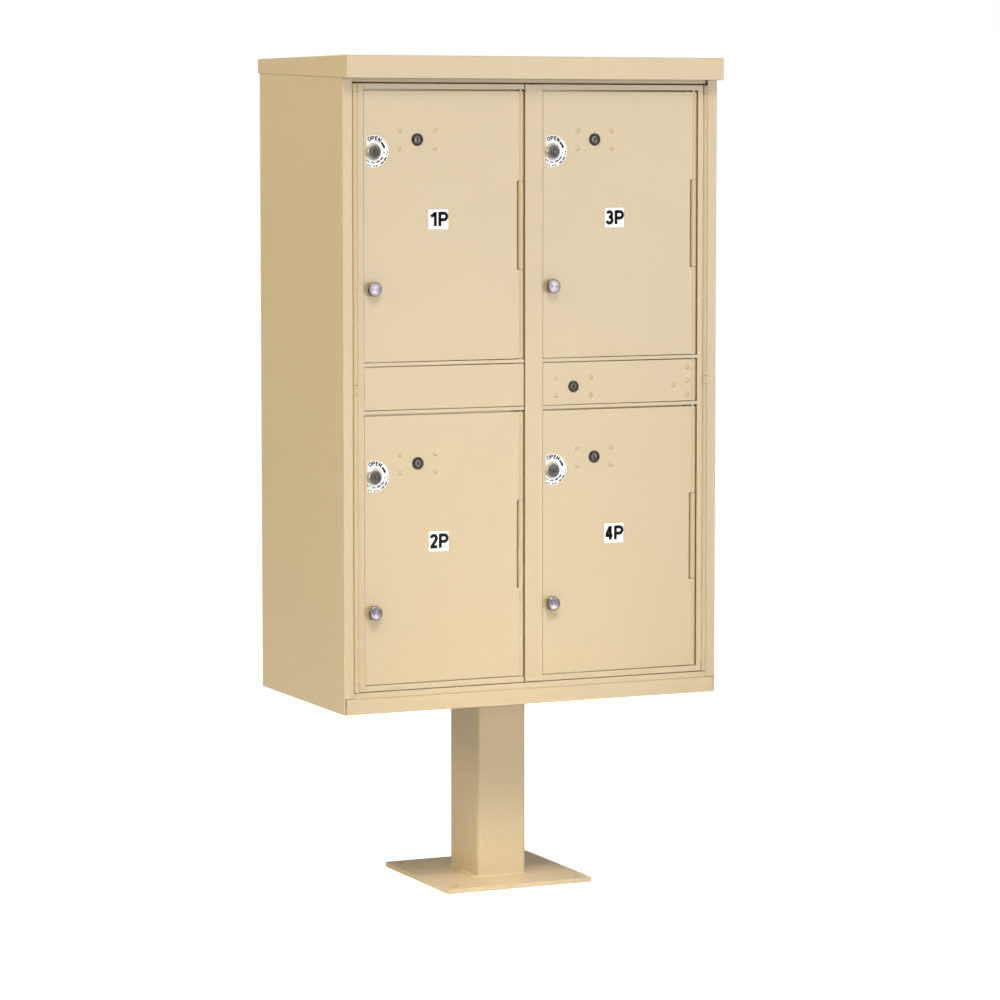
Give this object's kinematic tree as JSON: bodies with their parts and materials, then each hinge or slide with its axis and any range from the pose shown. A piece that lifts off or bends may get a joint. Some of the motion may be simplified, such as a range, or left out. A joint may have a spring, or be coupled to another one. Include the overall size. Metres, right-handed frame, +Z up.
{
  "type": "cluster mailbox unit",
  "caption": "Free-standing outdoor parcel locker on a pedestal, with keyed parcel doors, a small lock door and two loading doors.",
  "frame": {"origin": "on the ground, at the centre of the roof's footprint", "axes": "+Z up, -Y out of the doors, +X to the right as seen from the front"},
  "size_m": [0.7746, 0.4572, 1.5842],
  "materials": {
    "body_paint": "semi-matte powder coat, warm sandstone",
    "mill_aluminium": "mill finish sheet",
    "zinc_steel": "zinc plated",
    "lock_metal": "dark nickel",
    "lock_core": "worn nickel",
    "turned_metal": "turned and satin",
    "white_plate": "satin white"
  },
  "bodies": {
    "root": {"pedestal_base_plate": "body_paint", "pedestal_post": "body_paint", "pedestal_top_plate": "body_paint", "cabinet_bolts": "zinc_steel", "floor_pan": "body_paint", "left_side_panel": "body_paint", "right_side_panel": "body_paint", "back_panel": "body_paint", "roof_cap": "body_paint", "sill_rail": "body_paint", "head_rail": "body_paint", "centre_partition": "mill_aluminium", "compartment_shelves": "mill_aluminium", "body_hinge_leaves": "body_paint", "loading_door_hinge_pins": "zinc_steel"},
    "left_loading_door": {"left_door_stiles": "body_paint", "left_door_rails": "body_paint", "left_middle_panel": "body_paint", "left_parcel_hinge_pins": "zinc_steel"},
    "left_slide_bolt": {"left_slide_bolt": "zinc_steel"},
    "right_loading_door": {"right_door_stiles": "body_paint", "right_door_rails": "body_paint", "right_parcel_hinge_pins": "zinc_steel"},
    "latch_bar": {"latch_bar": "zinc_steel"},
    "lock_door": {"lock_door": "body_paint", "lock_door_rivets": "body_paint", "main_lock_case": "lock_metal"},
    "main_lock_plug": {"main_lock_plug": "lock_core"},
    "parcel_door_1": {"parcel_door_1": "body_paint", "customer_lock_1": "lock_metal", "control_lock_1": "lock_metal", "lock_rivets_1": "body_paint", "pull_knob_1": "turned_metal", "number_plate_1": "white_plate"},
    "customer_plug_1": {"customer_plug_1": "lock_core"},
    "control_plug_1": {"control_plug_1": "lock_core"},
    "parcel_door_2": {"parcel_door_2": "body_paint", "customer_lock_2": "lock_metal", "control_lock_2": "lock_metal", "lock_rivets_2": "body_paint", "pull_knob_2": "turned_metal", "number_plate_2": "white_plate"},
    "customer_plug_2": {"customer_plug_2": "lock_core"},
    "control_plug_2": {"control_plug_2": "lock_core"},
    "parcel_door_3": {"parcel_door_3": "body_paint", "customer_lock_3": "lock_metal", "control_lock_3": "lock_metal", "lock_rivets_3": "body_paint", "pull_knob_3": "turned_metal", "number_plate_3": "white_plate"},
    "customer_plug_3": {"customer_plug_3": "lock_core"},
    "control_plug_3": {"control_plug_3": "lock_core"},
    "parcel_door_4": {"parcel_door_4": "body_paint", "customer_lock_4": "lock_metal", "control_lock_4": "lock_metal", "lock_rivets_4": "body_paint", "pull_knob_4": "turned_metal", "number_plate_4": "white_plate"},
    "customer_plug_4": {"customer_plug_4": "lock_core"},
    "control_plug_4": {"control_plug_4": "lock_core"}
  },
  "joints": [
    {"name": "left_loading_door_hinge", "type": "hinge", "parent": "root", "child": "left_loading_door", "pos_m": [-0.3612, -0.2032, 0.9698], "axis": [0, 0, -1], "range_deg": [0, 110]},
    {"name": "right_loading_door_hinge", "type": "hinge", "parent": "root", "child": "right_loading_door", "pos_m": [0.3612, -0.2032, 0.9698], "axis": [0, 0, 1], "range_deg": [0, 110]},
    {"name": "parcel_door_1_hinge", "type": "hinge", "parent": "left_loading_door", "child": "parcel_door_1", "pos_m": [-0.0258, -0.1987, 1.2698], "axis": [0, 0, 1], "range_deg": [0, 100]},
    {"name": "parcel_door_2_hinge", "type": "hinge", "parent": "left_loading_door", "child": "parcel_door_2", "pos_m": [-0.0258, -0.1987, 0.6696], "axis": [0, 0, 1], "range_deg": [0, 100]},
    {"name": "parcel_door_3_hinge", "type": "hinge", "parent": "right_loading_door", "child": "parcel_door_3", "pos_m": [0.3378, -0.1987, 1.2698], "axis": [0, 0, 1], "range_deg": [0, 100]},
    {"name": "parcel_door_4_hinge", "type": "hinge", "parent": "right_loading_door", "child": "parcel_door_4", "pos_m": [0.3378, -0.1987, 0.6696], "axis": [0, 0, 1], "range_deg": [0, 100]},
    {"name": "lock_door_hinge", "type": "hinge", "parent": "right_loading_door", "child": "lock_door", "pos_m": [0.3378, -0.1987, 0.9704], "axis": [0, 0, 1], "range_deg": [0, 100]},
    {"name": "customer_lock_1_turn", "type": "hinge", "parent": "parcel_door_1", "child": "customer_plug_1", "pos_m": [-0.3252, -0.1912, 1.4068], "axis": [0, 1, 0], "range_deg": [0, 90]},
    {"name": "control_lock_1_turn", "type": "hinge", "parent": "parcel_door_1", "child": "control_plug_1", "pos_m": [-0.2372, -0.1912, 1.4298], "axis": [0, 1, 0], "range_deg": [0, 90]},
    {"name": "customer_lock_2_turn", "type": "hinge", "parent": "parcel_door_2", "child": "customer_plug_2", "pos_m": [-0.3252, -0.1912, 0.8066], "axis": [0, 1, 0], "range_deg": [0, 90]},
    {"name": "control_lock_2_turn", "type": "hinge", "parent": "parcel_door_2", "child": "control_plug_2", "pos_m": [-0.2372, -0.1912, 0.8296], "axis": [0, 1, 0], "range_deg": [0, 90]},
    {"name": "customer_lock_3_turn", "type": "hinge", "parent": "parcel_door_3", "child": "customer_plug_3", "pos_m": [0.0384, -0.1912, 1.4068], "axis": [0, 1, 0], "range_deg": [0, 90]},
    {"name": "control_lock_3_turn", "type": "hinge", "parent": "parcel_door_3", "child": "control_plug_3", "pos_m": [0.1264, -0.1912, 1.4298], "axis": [0, 1, 0], "range_deg": [0, 90]},
    {"name": "customer_lock_4_turn", "type": "hinge", "parent": "parcel_door_4", "child": "customer_plug_4", "pos_m": [0.0384, -0.1912, 0.8066], "axis": [0, 1, 0], "range_deg": [0, 90]},
    {"name": "control_lock_4_turn", "type": "hinge", "parent": "parcel_door_4", "child": "control_plug_4", "pos_m": [0.1264, -0.1912, 0.8296], "axis": [0, 1, 0], "range_deg": [0, 90]},
    {"name": "main_lock_turn", "type": "hinge", "parent": "lock_door", "child": "main_lock_plug", "pos_m": [0.0829, -0.1912, 0.9642], "axis": [0, 1, 0], "range_deg": [0, 90]},
    {"name": "latch_bar_slide", "type": "slide", "parent": "right_loading_door", "child": "latch_bar", "axis": [0, 0, 1], "range_m": [0, 0.012]},
    {"name": "slide_bolt_slide", "type": "slide", "parent": "left_loading_door", "child": "left_slide_bolt", "axis": [0, 0, 1], "range_m": [0, 0.012]}
  ]
}
